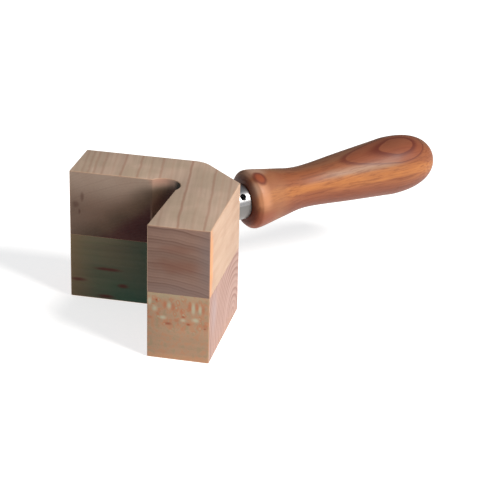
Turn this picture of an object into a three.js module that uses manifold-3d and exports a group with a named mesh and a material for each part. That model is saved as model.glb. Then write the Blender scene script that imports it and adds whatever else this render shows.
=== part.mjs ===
// A wooden nutcracker: an L-shaped head of two cross-laminated boards whose notch
// closes over a walnut, and a turned handle screwed to the outside of the corner.
//
// Millimetres, +Z up. The origin is on the base, at the centre of the square where
// the two arms cross. One arm runs towards -X, the other towards -Y, and the handle
// lies along the diagonal between +X and +Y.

import * as THREE from "three";
import { mergeVertices } from "three/addons/utils/BufferGeometryUtils.js";
import Module from "manifold-3d";

// ---------------------------------------------------------------- driving sizes

// Clearance left between pieces that touch on the real object.
const FIT = 0.3;

// Head: two boards of the same outline, glued face to face.
const ARM_LENGTH = 80;
const ARM_WIDTH = 28.5;
const BOARD_THICKNESS = 32;
const CORNER_CHAMFER = 22;
const LEFT_BLEND_RADIUS = 10;
const RIGHT_BLEND_RADIUS = 1.5;
const RELIEF_RADIUS = 8.2;
const RELIEF_INSET = 5.3;

// Alignment dowels across the glue line, one in each arm.
const DOWEL_RADIUS = 4;
const DOWEL_LENGTH = 30;
const DOWEL_FROM_ARM_END = 24;

// Stud: a double-ended steel rod, machine thread in the head, wood thread in the handle.
const STUD_RADIUS = 4;
const STUD_IN_HANDLE = 42;
const STUD_END_BEVEL = 0.8;

// Threaded insert sunk in the corner of the upper board, and the wood left behind it.
const INSERT_WALL = 1.7;
const INSERT_RECESS = 0.5;
const INSERT_FLANGE_OVERHANG = 1.5;
const INSERT_FLANGE_THICKNESS = 1.2;
const WOOD_BEHIND_INSERT = 5.2;

// Seat washer and steel shaft collar between the head and the handle.
const WASHER_WALL = 3.7;
const WASHER_THICKNESS = 3;
const COLLAR_WALL = 4.1;
const COLLAR_LENGTH = 8;
const COLLAR_BEVEL = 0.5;

// Grub screw that locks the collar to the stud, halfway along the collar.
const GRUB_SCREW_RADIUS = 1.35;
const GRUB_SCREW_SUNK = 1;
const GRUB_SCREW_LIFT = THREE.MathUtils.degToRad(38);

// Handle axis: how far it meets the chamfer below the middle of the upper board, and
// how much it rises from there.
const HANDLE_DROP = 1;
const HANDLE_RISE = THREE.MathUtils.degToRad(1.2);

// Handle: a turned file handle.
const HANDLE_LENGTH = 109.6;
const HANDLE_FACE_RADIUS = 10.4;
const HANDLE_SHOULDER_RADIUS = 13.2;
const HANDLE_SHOULDER_AT = 1.75;
const HANDLE_BULB_RADIUS = 14.1;
const HANDLE_BULB_AT = 5;
const HANDLE_NECK_RADIUS = 11.9;
const HANDLE_NECK_AT = 18.15;
const HANDLE_WAIST_RADIUS = 10.1;
const HANDLE_WAIST_AT = 33;
const HANDLE_SWELL_RADIUS = 12.2;
const HANDLE_SWELL_AT = 58.5;
const HANDLE_GRIP_RADIUS = 14.3;
const HANDLE_GRIP_AT = 84;
const HANDLE_BUTT_FULLNESS = 2.4;

// Facets on a full turn, and steps along the handle's body, its butt and the blends.
const SEGMENTS = 40;
const HANDLE_STEPS = 24;
const BUTT_STEPS = 9;
const BLEND_STEPS = 6;

// How far a cutting shape stands out of the face it starts from.
const OVERCUT = 5;

// ---------------------------------------------------------------- derived sizes

const OUTER = ARM_WIDTH / 2;
const INNER = OUTER - ARM_WIDTH;
const ARM_END = OUTER - ARM_LENGTH;
const HEAD_HEIGHT = 2 * BOARD_THICKNESS;
const HANDLE_HEIGHT = 1.5 * BOARD_THICKNESS - HANDLE_DROP;
const CHAMFER_CENTRE = OUTER - CORNER_CHAMFER / 2;
const RELIEF_CENTRE = INNER - RELIEF_INSET;

// Wood between the chamfer and the relief bore, along the diagonal.
const WEB = (CHAMFER_CENTRE - RELIEF_CENTRE) * Math.SQRT2 - RELIEF_RADIUS;

// Radii about the handle axis.
const STUD_BORE_RADIUS = STUD_RADIUS + FIT;
const INSERT_RADIUS = STUD_BORE_RADIUS + INSERT_WALL;
const INSERT_FLANGE_RADIUS = INSERT_RADIUS + INSERT_FLANGE_OVERHANG;
const WASHER_RADIUS = STUD_BORE_RADIUS + WASHER_WALL;
const COLLAR_RADIUS = STUD_BORE_RADIUS + COLLAR_WALL;

// Positions along the handle axis, from the chamfer face outwards.
const WASHER_START = FIT;
const COLLAR_START = WASHER_START + WASHER_THICKNESS + FIT;
const COLLAR_END = COLLAR_START + COLLAR_LENGTH;
const HANDLE_START = COLLAR_END + FIT;
const INSERT_START = WOOD_BEHIND_INSERT + FIT - WEB;
const STUD_START = INSERT_START + FIT;
const STUD_END = HANDLE_START + STUD_IN_HANDLE;
const GRUB_SCREW_AT = COLLAR_START + COLLAR_LENGTH / 2;

// ---------------------------------------------------------------- solid helpers

const wasm = await Module();
wasm.setup();

// A closed geometry as a solid that can be cut and joined.
function toSolid(geometry) {
  const bare = geometry.clone();
  bare.deleteAttribute("normal");
  bare.deleteAttribute("uv");
  const merged = mergeVertices(bare, 1e-4);
  return new wasm.Manifold(
    new wasm.Mesh({
      numProp: 3,
      vertProperties: new Float32Array(merged.attributes.position.array),
      triVerts: new Uint32Array(merged.index.array),
    }),
  );
}

// A solid back as a three.js geometry.
function toGeometry(solid) {
  const mesh = solid.getMesh();
  const geometry = new THREE.BufferGeometry();
  const positions = new Float32Array(mesh.vertProperties);
  geometry.setAttribute("position", new THREE.BufferAttribute(positions, 3));
  geometry.setIndex(new THREE.BufferAttribute(new Uint32Array(mesh.triVerts), 1));
  geometry.computeVertexNormals();
  return geometry;
}

// A geometry with others cut out of it.
function cut(geometry, ...tools) {
  let solid = toSolid(geometry);
  for (const tool of tools) {
    solid = solid.subtract(toSolid(tool));
  }
  return toGeometry(solid);
}

// A turned shape around Z. The profile lists [radius, position along Z], going up the
// outside; a ring's profile comes back down the inside and ends where it began.
function turned(profile) {
  const points = profile.map(([radius, along]) => new THREE.Vector2(radius, along));
  return new THREE.LatheGeometry(points, SEGMENTS).rotateX(Math.PI / 2);
}

function rod(radius, start, end, bevel = 0) {
  return turned([
    [0, start],
    [radius - bevel, start],
    [radius, start + bevel],
    [radius, end - bevel],
    [radius - bevel, end],
    [0, end],
  ]);
}

function plainRod(radius, start, end) {
  return turned([
    [0, start],
    [radius, start],
    [radius, end],
    [0, end],
  ]);
}

function named(name, geometry, material) {
  const mesh = new THREE.Mesh(geometry, material);
  mesh.name = name;
  return mesh;
}

// ---------------------------------------------------------------- materials

function wood(color, roughness) {
  return new THREE.MeshStandardMaterial({ color, roughness, metalness: 0, flatShading: true });
}

function steel(color, roughness) {
  return new THREE.MeshStandardMaterial({ color, roughness, metalness: 1, flatShading: true });
}

const upperBoardWood = wood(0xbfa68c, 0.7);
const lowerBoardWood = wood(0xc3a283, 0.7);
const dowelWood = wood(0xd2b48c, 0.8);
const handleWood = wood(0xb4663a, 0.4);
const polishedSteel = steel(0xd8dadd, 0.12);
const threadSteel = steel(0x9a9da1, 0.35);
const insertBrass = steel(0xb08d4f, 0.4);
const blackSteel = steel(0x1c1c1e, 0.5);

// ---------------------------------------------------------------- head

// Plan of the L: square corners, except the outer one, which is chamfered. The chamfer is
// blended widely into the left arm and only eased where it meets the right one.
function headOutline() {
  const chamferStart = OUTER - CORNER_CHAMFER;
  const rightTangent = chamferStart - RIGHT_BLEND_RADIUS * Math.tan(Math.PI / 8);
  const leftTangent = chamferStart - LEFT_BLEND_RADIUS * Math.tan(Math.PI / 8);
  const rightCentre = new THREE.Vector2(OUTER - RIGHT_BLEND_RADIUS, rightTangent);
  const leftCentre = new THREE.Vector2(leftTangent, OUTER - LEFT_BLEND_RADIUS);
  const outline = new THREE.Shape();
  outline.moveTo(INNER, ARM_END);
  outline.lineTo(OUTER, ARM_END);
  outline.absarc(rightCentre.x, rightCentre.y, RIGHT_BLEND_RADIUS, 0, Math.PI / 4, false);
  outline.absarc(leftCentre.x, leftCentre.y, LEFT_BLEND_RADIUS, Math.PI / 4, Math.PI / 2, false);
  outline.lineTo(ARM_END, OUTER);
  outline.lineTo(ARM_END, INNER);
  outline.lineTo(INNER, INNER);
  outline.closePath();
  return outline;
}

// One board of the head, standing on the height given.
function board(base) {
  const blank = new THREE.ExtrudeGeometry(headOutline(), {
    depth: BOARD_THICKNESS,
    bevelEnabled: false,
    curveSegments: BLEND_STEPS,
  });
  return blank.translate(0, 0, base);
}

// The round relief bored down through the inner corner.
function reliefBore() {
  return plainRod(RELIEF_RADIUS, -OVERCUT, HEAD_HEIGHT + OVERCUT)
    .translate(RELIEF_CENTRE, RELIEF_CENTRE, 0);
}

const dowelPlaces = [
  { name: "left_arm_dowel", x: ARM_END + DOWEL_FROM_ARM_END, y: 0 },
  { name: "right_arm_dowel", x: 0, y: ARM_END + DOWEL_FROM_ARM_END },
];

function dowelRod(place, clearance) {
  const half = DOWEL_LENGTH / 2 + clearance;
  return plainRod(DOWEL_RADIUS + clearance, BOARD_THICKNESS - half, BOARD_THICKNESS + half)
    .translate(place.x, place.y, 0);
}

function dowelHoles() {
  return dowelPlaces.map((place) => dowelRod(place, FIT));
}

function dowel(place) {
  return named(place.name, dowelRod(place, 0), dowelWood);
}

function lowerBoard() {
  return named("lower_board", cut(board(0), reliefBore(), ...dowelHoles()), lowerBoardWood);
}

// The bore for the threaded insert, open at the chamfer, with a seat for its flange.
function insertBore() {
  const flangeSeat = -INSERT_RECESS - INSERT_FLANGE_THICKNESS - FIT;
  return turned([
    [0, INSERT_START - FIT],
    [INSERT_RADIUS + FIT, INSERT_START - FIT],
    [INSERT_RADIUS + FIT, flangeSeat],
    [INSERT_FLANGE_RADIUS + FIT, flangeSeat],
    [INSERT_FLANGE_RADIUS + FIT, OVERCUT],
    [0, OVERCUT],
  ]);
}

function upperBoard(handleAxis) {
  const bore = insertBore().applyMatrix4(handleAxis.matrixWorld);
  return named(
    "upper_board",
    cut(board(BOARD_THICKNESS), reliefBore(), ...dowelHoles(), bore),
    upperBoardWood,
  );
}

// ---------------------------------------------------------------- along the handle axis

function threadedInsert() {
  const face = -INSERT_RECESS;
  const flangeBack = face - INSERT_FLANGE_THICKNESS;
  const geometry = turned([
    [STUD_BORE_RADIUS, INSERT_START],
    [INSERT_RADIUS, INSERT_START],
    [INSERT_RADIUS, flangeBack],
    [INSERT_FLANGE_RADIUS, flangeBack],
    [INSERT_FLANGE_RADIUS, face],
    [STUD_BORE_RADIUS, face],
    [STUD_BORE_RADIUS, INSERT_START],
  ]);
  return named("threaded_insert", geometry, insertBrass);
}

function seatWasher() {
  const end = WASHER_START + WASHER_THICKNESS;
  const geometry = turned([
    [STUD_BORE_RADIUS, WASHER_START],
    [WASHER_RADIUS, WASHER_START],
    [WASHER_RADIUS, end],
    [STUD_BORE_RADIUS, end],
    [STUD_BORE_RADIUS, WASHER_START],
  ]);
  return named("seat_washer", geometry, threadSteel);
}

function stud() {
  return named("stud", rod(STUD_RADIUS, STUD_START, STUD_END, STUD_END_BEVEL), threadSteel);
}

// A rod lying along the grub screw's line, which points away from the handle axis.
function alongGrubScrew(geometry) {
  return geometry
    .rotateY(-Math.PI / 2)
    .rotateZ(-GRUB_SCREW_LIFT)
    .translate(0, 0, GRUB_SCREW_AT);
}

function collar() {
  const ring = turned([
    [STUD_BORE_RADIUS, COLLAR_START],
    [COLLAR_RADIUS - COLLAR_BEVEL, COLLAR_START],
    [COLLAR_RADIUS, COLLAR_START + COLLAR_BEVEL],
    [COLLAR_RADIUS, COLLAR_END - COLLAR_BEVEL],
    [COLLAR_RADIUS - COLLAR_BEVEL, COLLAR_END],
    [STUD_BORE_RADIUS, COLLAR_END],
    [STUD_BORE_RADIUS, COLLAR_START],
  ]);
  const hole = plainRod(GRUB_SCREW_RADIUS + FIT, 0, 2 * COLLAR_RADIUS);
  return named("collar", cut(ring, alongGrubScrew(hole)), polishedSteel);
}

function grubScrew() {
  const screw = plainRod(GRUB_SCREW_RADIUS, STUD_BORE_RADIUS, COLLAR_RADIUS - GRUB_SCREW_SUNK);
  return named("grub_screw", alongGrubScrew(screw), blackSteel);
}

// Outline of the handle from its front face to its round butt.
function handleProfile() {
  const body = new THREE.SplineCurve([
    new THREE.Vector2(HANDLE_FACE_RADIUS, 0),
    new THREE.Vector2(HANDLE_SHOULDER_RADIUS, HANDLE_SHOULDER_AT),
    new THREE.Vector2(HANDLE_BULB_RADIUS, HANDLE_BULB_AT),
    new THREE.Vector2(HANDLE_NECK_RADIUS, HANDLE_NECK_AT),
    new THREE.Vector2(HANDLE_WAIST_RADIUS, HANDLE_WAIST_AT),
    new THREE.Vector2(HANDLE_SWELL_RADIUS, HANDLE_SWELL_AT),
    new THREE.Vector2(HANDLE_GRIP_RADIUS, HANDLE_GRIP_AT),
  ]);
  const profile = body.getPoints(HANDLE_STEPS).map((point) => [point.x, point.y]);
  const buttLength = HANDLE_LENGTH - HANDLE_GRIP_AT;
  const power = 2 / HANDLE_BUTT_FULLNESS;
  for (let i = 1; i < BUTT_STEPS; i++) {
    const angle = (i / BUTT_STEPS) * (Math.PI / 2);
    profile.push([
      HANDLE_GRIP_RADIUS * Math.cos(angle) ** power,
      HANDLE_GRIP_AT + buttLength * Math.sin(angle) ** power,
    ]);
  }
  return [...profile, [0, HANDLE_LENGTH]];
}

// The handle, with the blind bore that takes the stud.
function handle() {
  const boreDepth = STUD_IN_HANDLE + FIT;
  const bore = [[0, boreDepth], [STUD_BORE_RADIUS, boreDepth], [STUD_BORE_RADIUS, 0]];
  const geometry = turned([...bore, ...handleProfile()]);
  return named("handle", geometry.translate(0, 0, HANDLE_START), handleWood);
}

// ---------------------------------------------------------------- assembly

const nutcracker = new THREE.Group();

const handleAxis = new THREE.Group();
handleAxis.up.set(0, 0, 1);
handleAxis.position.set(CHAMFER_CENTRE, CHAMFER_CENTRE, HANDLE_HEIGHT);
const outwards = new THREE.Vector3(1, 1, Math.SQRT2 * Math.tan(HANDLE_RISE));
handleAxis.lookAt(handleAxis.position.clone().add(outwards));
handleAxis.add(threadedInsert(), seatWasher(), stud(), collar(), grubScrew(), handle());
nutcracker.add(handleAxis);
nutcracker.updateMatrixWorld(true);

nutcracker.add(lowerBoard(), upperBoard(handleAxis), ...dowelPlaces.map(dowel));

export default nutcracker;
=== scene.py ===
import math

import bmesh
import bpy
from mathutils import Matrix, Vector


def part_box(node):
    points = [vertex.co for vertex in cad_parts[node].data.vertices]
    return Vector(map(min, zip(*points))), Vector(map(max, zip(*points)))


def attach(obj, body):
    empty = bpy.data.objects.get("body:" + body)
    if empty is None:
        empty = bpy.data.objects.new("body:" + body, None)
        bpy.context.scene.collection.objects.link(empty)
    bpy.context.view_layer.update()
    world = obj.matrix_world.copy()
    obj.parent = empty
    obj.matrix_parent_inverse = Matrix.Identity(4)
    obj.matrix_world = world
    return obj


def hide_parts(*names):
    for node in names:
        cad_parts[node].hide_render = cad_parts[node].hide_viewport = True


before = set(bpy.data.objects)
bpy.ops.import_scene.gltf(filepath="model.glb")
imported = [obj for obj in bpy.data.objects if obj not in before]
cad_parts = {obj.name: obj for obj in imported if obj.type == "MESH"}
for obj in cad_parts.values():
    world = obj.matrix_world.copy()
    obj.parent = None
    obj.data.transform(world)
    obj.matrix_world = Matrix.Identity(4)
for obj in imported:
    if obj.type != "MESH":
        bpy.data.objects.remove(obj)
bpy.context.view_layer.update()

MM = 0.001

# Head: the same sizes as its two boards in the frame, in millimetres.
ARM_WIDTH = 28.5
BOARD_THICKNESS = 32
CORNER_CHAMFER = 22
LEFT_BLEND_RADIUS = 10
RIGHT_BLEND_RADIUS = 1.5
RELIEF_RADIUS = 8.2
RELIEF_INSET = 5.3
BOARD_ARRIS = 0.5
GLUE_LINE_ARRIS = 0.12
DOWEL_HOLE_RADIUS = 4.3
DOWEL_HOLE_DEPTH = 15.3
DOWEL_FROM_ARM_END = 24

# Handle axis: where it leaves the chamfer, and the way it points.
AXIS_START = Vector((3.25, 3.25, 47))
ALONG = Vector((0.706951701, 0.706951701, 0.02094242)).normalized()
ACROSS = Vector((-1, 1, 0)).normalized()
UPWARDS = ALONG.cross(ACROSS)

# Pieces on the axis: radii about it and stations along it, in millimetres.
BORE_RADIUS = 4.3
INSERT_START = -18.544
INSERT_FACE = -0.5
INSERT_RADIUS = 6
INSERT_FLANGE_RADIUS = 7.5
INSERT_FLANGE_THICKNESS = 1.2
INSERT_GROOVE_RADIUS = 5.3
FLANGE_RECESS = -2
FIT = 0.3
WASHER_START = 0.3
WASHER_END = 3.3
WASHER_RADIUS = 8
COLLAR_START = 3.6
COLLAR_END = 11.6
COLLAR_RADIUS = 8.4
STUD_START = -18.244
STUD_END = 53.9
STUD_RADIUS = 4
THREAD_PITCH = 1.25
THREAD_DEPTH = 0.68
THREAD_END = 11.5
STUD_FRONT_CHAMFER = 0.6
STUD_BACK_CHAMFER = 0.8
GRUB_SCREW_AT = 7.6
GRUB_SCREW_RADIUS = 1.35
GRUB_SCREW_HOLE_RADIUS = 1.65
GRUB_SCREW_LIFT = math.radians(38)
GRUB_SCREW_OUTER_END = 7.4
GRUB_SCREW_SOCKET_RADIUS = 0.85
GRUB_SCREW_SOCKET_DEPTH = 1.2
HANDLE_START = 11.9
HANDLE_BORE_DEPTH = 42.3

# The floor stands this far under the head, so that the two never share a face.
FLOOR_DROP = 0.05


# ---------------------------------------------------------------- mesh helpers


def finished(bm, name, body, node):
    """Makes a piece of this bmesh, in metres, that rides on its body in place of its node."""
    bmesh.ops.scale(bm, vec=(MM, MM, MM), verts=bm.verts)
    mesh = bpy.data.meshes.new(name)
    bm.to_mesh(mesh)
    bm.free()
    mesh.set_sharp_from_angle(angle=math.radians(40))
    piece = bpy.data.objects.new(name, mesh)
    bpy.context.scene.collection.objects.link(piece)
    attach(piece, body)
    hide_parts(node)


def set_on_axis(bm):
    """Turns a shape made around Z onto the handle axis."""
    frame_of_axis = Matrix((ACROSS, UPWARDS, ALONG)).transposed().to_4x4()
    bmesh.ops.transform(bm, matrix=Matrix.Translation(AXIS_START) @ frame_of_axis, verts=bm.verts)


def turned(profile, steps):
    """A closed turned shape around Z from a profile of (radius, height) points, going up the outside."""
    bm = bmesh.new()
    points = [bm.verts.new((radius, 0, height)) for radius, height in profile]
    for start, end in zip(points, points[1:]):
        bm.edges.new((start, end))
    bmesh.ops.spin(
        bm, geom=bm.verts[:] + bm.edges[:], cent=(0, 0, 0), axis=(0, 0, 1), dvec=(0, 0, 0),
        angle=2 * math.pi, steps=steps, use_merge=True, use_duplicate=False,
    )
    bmesh.ops.remove_doubles(bm, verts=bm.verts, dist=0.0005)
    bmesh.ops.recalc_face_normals(bm, faces=bm.faces)
    return bm


def ease(bm, edges, width, segments):
    """Rounds these edges over, and gives the faces made."""
    made = bmesh.ops.bevel(
        bm, geom=edges, offset=width, offset_type="OFFSET", affect="EDGES",
        segments=segments, profile=0.5, material=-1, clamp_overlap=True,
    )
    return made["faces"]


def sharp_edges(bm):
    """The edges between faces that turn by more than 35 degrees."""
    least = math.radians(35)
    return [edge for edge in bm.edges if len(edge.link_faces) == 2 and edge.calc_face_angle(0) > least]


def carve(bm, *cutters):
    """A new bmesh with the cutters taken out of the first."""

    def as_object(shape):
        mesh = bpy.data.meshes.new("blank")
        shape.to_mesh(mesh)
        shape.free()
        blank = bpy.data.objects.new("blank", mesh)
        bpy.context.scene.collection.objects.link(blank)
        return blank

    blank = as_object(bm)
    tools = [as_object(cutter) for cutter in cutters]
    for tool in tools:
        modifier = blank.modifiers.new("carve", "BOOLEAN")
        modifier.operation = "DIFFERENCE"
        modifier.solver = "EXACT"
        modifier.object = tool
    evaluated = blank.evaluated_get(bpy.context.evaluated_depsgraph_get())
    carved = bmesh.new()
    carved.from_mesh(evaluated.to_mesh())
    evaluated.to_mesh_clear()
    for each in [blank, *tools]:
        mesh = each.data
        bpy.data.objects.remove(each)
        bpy.data.meshes.remove(mesh)
    return carved


def drill(radius, start, end, steps=48):
    """A plain rod around Z, for carving holes."""
    bm = bmesh.new()
    bmesh.ops.create_cone(
        bm, cap_ends=True, segments=steps, radius1=radius, radius2=radius, depth=end - start,
    )
    bmesh.ops.translate(bm, vec=(0, 0, (start + end) / 2), verts=bm.verts)
    return bm


# ---------------------------------------------------------------- head


def board_blank(base):
    """One board of the head: the L plan with its relief bore, raised to the board's thickness."""
    outer = ARM_WIDTH / 2
    inner = outer - ARM_WIDTH
    arm_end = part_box("upper_board")[0][0] / MM
    centre = inner - RELIEF_INSET
    reach = math.sqrt(RELIEF_RADIUS**2 - RELIEF_INSET**2)
    sweep = 2 * math.pi - 2 * math.atan2(RELIEF_INSET, -reach) + math.radians(90)
    bm = bmesh.new()
    arc_start = bm.verts.new((centre - reach, inner, base))
    made = bmesh.ops.spin(
        bm, geom=[arc_start], cent=(centre, centre, base), axis=(0, 0, 1), dvec=(0, 0, 0),
        angle=-sweep, steps=36, use_merge=False, use_duplicate=False,
    )
    arc_end = made["geom_last"][0]
    corners = [
        (inner, arm_end), (outer, arm_end), (outer, outer - CORNER_CHAMFER),
        (outer - CORNER_CHAMFER, outer), (arm_end, outer), (arm_end, inner),
    ]
    chain = [arc_end, *(bm.verts.new((x, y, base)) for x, y in corners), arc_start]
    for start, end in zip(chain, chain[1:]):
        bm.edges.new((start, end))
    bmesh.ops.contextual_create(bm, geom=bm.edges)
    raised = bmesh.ops.extrude_face_region(bm, geom=bm.faces)
    top = [part for part in raised["geom"] if isinstance(part, bmesh.types.BMVert)]
    bmesh.ops.translate(bm, vec=(0, 0, BOARD_THICKNESS), verts=top)
    bmesh.ops.recalc_face_normals(bm, faces=bm.faces)
    return bm


def upright_at(bm, x, y):
    """The upright edges of a blank that stand at this corner of its plan."""
    corner = Vector((x, y))
    return [edge for edge in bm.edges if all((v.co.xy - corner).length < 0.01 for v in edge.verts)]


def board(base, seam_height):
    """A board with its chamfer blended and its edges eased, less so at the glue line."""
    bm = board_blank(base)
    outer = ARM_WIDTH / 2
    chamfer_end = outer - CORNER_CHAMFER
    for x, y, radius in ((outer, chamfer_end, RIGHT_BLEND_RADIUS), (chamfer_end, outer, LEFT_BLEND_RADIUS)):
        ease(bm, upright_at(bm, x, y), radius * math.tan(math.pi / 8), 8)
    widest_facet = 3
    for face in bm.faces:
        if abs(face.normal.z) < 0.1 and face.calc_area() < BOARD_THICKNESS * widest_facet:
            face.smooth = True
    # Each eased face's share, which the board's material uses for a painted highlight on its edges.
    wear_and_highlight = bm.faces.layers.float.new("arris")

    def is_seam(edge):
        return all(abs(v.co.z - seam_height) < 0.01 for v in edge.verts)

    def is_kept_sharp(edge):
        """The upright corners where the relief bore meets the arms."""
        start, end = (v.co for v in edge.verts)
        in_corner = -ARM_WIDTH < min(start.x, start.y) and max(start.x, start.y) < 0
        return in_corner and (start.xy - end.xy).length < 0.01

    for at_seam, width in ((False, BOARD_ARRIS), (True, GLUE_LINE_ARRIS)):
        edges = [edge for edge in sharp_edges(bm) if is_seam(edge) == at_seam]
        for face in ease(bm, [edge for edge in edges if not is_kept_sharp(edge)], width, 3):
            face.smooth = True
            face[wear_and_highlight] = width / BOARD_ARRIS
    return bm


def dowel_holes():
    """The cutters for one upright hole across the glue line in each arm."""
    along_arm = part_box("upper_board")[0][0] / MM + DOWEL_FROM_ARM_END
    low, high = BOARD_THICKNESS - DOWEL_HOLE_DEPTH, BOARD_THICKNESS + DOWEL_HOLE_DEPTH
    holes = []
    for x, y in ((along_arm, 0), (0, along_arm)):
        hole = drill(DOWEL_HOLE_RADIUS, low, high)
        bmesh.ops.translate(hole, vec=(x, y, 0), verts=hole.verts)
        holes.append(hole)
    return holes


def make_boards():
    lower = carve(board(0, BOARD_THICKNESS), *dowel_holes())
    finished(lower, "lower_board_piece", "head", "lower_board")
    past_chamfer = 5
    bore = turned(
        [
            (0, INSERT_START - FIT),
            (INSERT_RADIUS + FIT, INSERT_START - FIT),
            (INSERT_RADIUS + FIT, FLANGE_RECESS),
            (INSERT_FLANGE_RADIUS + FIT, FLANGE_RECESS),
            (INSERT_FLANGE_RADIUS + FIT, past_chamfer),
            (0, past_chamfer),
        ],
        64,
    )
    set_on_axis(bore)
    upper = carve(board(BOARD_THICKNESS, BOARD_THICKNESS), *dowel_holes(), bore)
    finished(upper, "upper_board_piece", "head", "upper_board")


# ---------------------------------------------------------------- along the handle axis


def ring(inner, outer, start, end):
    """The outline of a plain ring, as (radius, station) points that close on themselves."""
    return [(inner, start), (outer, start), (outer, end), (inner, end), (inner, start)]


def smooth_sides(bm):
    """Shades round sides smoothly and leaves flat faces flat."""
    for face in bm.faces:
        face.smooth = abs(face.normal.z) < 0.97


def threaded(bm, start, end, depth):
    """Presses a thread into a rod around Z from start to end, where the rod has close rows of points."""
    for vert in bm.verts:
        radius = vert.co.xy.length
        if radius < STUD_RADIUS - 0.01 or not start <= vert.co.z <= end:
            continue
        turn = math.atan2(vert.co.y, vert.co.x) / (2 * math.pi)
        phase = (vert.co.z / THREAD_PITCH - turn) % 1
        flank = abs(2 * phase - 1)
        fade = min(1, (vert.co.z - start) / THREAD_PITCH, (end - vert.co.z) / THREAD_PITCH)
        drop = depth * min(1, max(0, 1.25 * flank - 0.125)) * fade
        vert.co.xy *= (radius - drop) / radius


def make_stud():
    """A long stud with chamfered ends, its thread pressed in from the front up to the handle."""
    rows_per_turn = 10
    first_row = 6
    rows = round((THREAD_END - STUD_START) / THREAD_PITCH * rows_per_turn)
    step = (THREAD_END - STUD_START) / rows
    outline = [(0, STUD_START), (STUD_RADIUS - STUD_FRONT_CHAMFER, STUD_START)]
    outline += [(STUD_RADIUS, STUD_START + STUD_FRONT_CHAMFER)]
    outline += [(STUD_RADIUS, STUD_START + i * step) for i in range(first_row, rows + 1)]
    outline += [(STUD_RADIUS, STUD_END - STUD_BACK_CHAMFER)]
    outline += [(STUD_RADIUS - STUD_BACK_CHAMFER, STUD_END), (0, STUD_END)]
    bm = turned(outline, 48)
    threaded(bm, STUD_START + STUD_FRONT_CHAMFER, THREAD_END, THREAD_DEPTH)
    smooth_sides(bm)
    set_on_axis(bm)
    finished(bm, "stud_piece", "grip", "stud")


def make_insert():
    """A flanged brass insert with a ribbed body and a driver slot across its flange."""
    flange_back = INSERT_FACE - INSERT_FLANGE_THICKNESS
    groove = INSERT_GROOVE_RADIUS
    outline = [(BORE_RADIUS, INSERT_FACE), (BORE_RADIUS, INSERT_START), (groove, INSERT_START)]
    rib_spacing, rib_top, rib_slope_end = 2.0, 0.4, 1.2
    station = INSERT_START + 0.6
    while station + rib_spacing < flange_back:
        outline += [(INSERT_RADIUS, station), (INSERT_RADIUS, station + rib_top)]
        outline += [(groove, station + rib_slope_end)]
        station += rib_spacing
    outline += [(groove, flange_back), (INSERT_FLANGE_RADIUS, flange_back)]
    outline += [(INSERT_FLANGE_RADIUS, INSERT_FACE), (BORE_RADIUS, INSERT_FACE)]
    bm = turned(outline, 64)
    rims = [e for e in sharp_edges(bm) if all(abs(v.co.z - INSERT_FACE) < 0.01 for v in e.verts)]
    for face in ease(bm, rims, 0.2, 2):
        face.smooth = True
    slot_cutter = bmesh.new()
    slot_length, slot_width, slot_height = 20, 1.4, 1.6
    bmesh.ops.create_cube(slot_cutter, size=1)
    bmesh.ops.scale(slot_cutter, vec=(slot_length, slot_width, slot_height), verts=slot_cutter.verts)
    bmesh.ops.translate(slot_cutter, vec=(0, 0, INSERT_FACE), verts=slot_cutter.verts)
    bm = carve(bm, slot_cutter)
    set_on_axis(bm)
    finished(bm, "threaded_insert_piece", "head", "threaded_insert")


def make_washer():
    """A thick plain washer with eased rims."""
    bm = turned(ring(BORE_RADIUS, WASHER_RADIUS, WASHER_START, WASHER_END), 72)
    for face in ease(bm, sharp_edges(bm), 0.3, 3):
        face.smooth = True
    smooth_sides(bm)
    set_on_axis(bm)
    finished(bm, "seat_washer_piece", "washer", "seat_washer")


def along_grub_screw(bm):
    """Turns a shape made around Z so that it points out from the axis through the collar's hole."""
    turn = Matrix.Rotation(-GRUB_SCREW_LIFT, 4, "Z") @ Matrix.Rotation(-math.pi / 2, 4, "Y")
    bmesh.ops.transform(bm, matrix=Matrix.Translation((0, 0, GRUB_SCREW_AT)) @ turn, verts=bm.verts)


def make_collar():
    """A shaft collar with eased rims and the hole for its grub screw."""
    bm = turned(ring(BORE_RADIUS, COLLAR_RADIUS, COLLAR_START, COLLAR_END), 96)
    ease(bm, sharp_edges(bm), 0.5, 4)
    rows = 14
    for row in range(1, rows):
        height = COLLAR_START + row * (COLLAR_END - COLLAR_START) / rows
        bmesh.ops.bisect_plane(
            bm, geom=bm.verts[:] + bm.edges[:] + bm.faces[:], plane_co=(0, 0, height), plane_no=(0, 0, 1),
        )
    hole = drill(GRUB_SCREW_HOLE_RADIUS, 0, 2 * COLLAR_RADIUS)
    along_grub_screw(hole)
    bm = carve(bm, hole)
    smooth_sides(bm)
    set_on_axis(bm)
    finished(bm, "collar_piece", "grip", "collar")


def make_grub_screw():
    """A short screw below the collar's outside, with a six-sided socket in its head."""
    bm = drill(GRUB_SCREW_RADIUS, BORE_RADIUS, GRUB_SCREW_OUTER_END)
    rim = [e for e in sharp_edges(bm) if all(v.co.z > GRUB_SCREW_OUTER_END - 0.01 for v in e.verts)]
    for face in ease(bm, rim, 0.2, 2):
        face.smooth = True
    socket_end = GRUB_SCREW_OUTER_END - GRUB_SCREW_SOCKET_DEPTH
    bm = carve(bm, drill(GRUB_SCREW_SOCKET_RADIUS, socket_end, GRUB_SCREW_OUTER_END + 1, steps=6))
    along_grub_screw(bm)
    set_on_axis(bm)
    finished(bm, "grub_screw_piece", "grip", "grub_screw")


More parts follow.
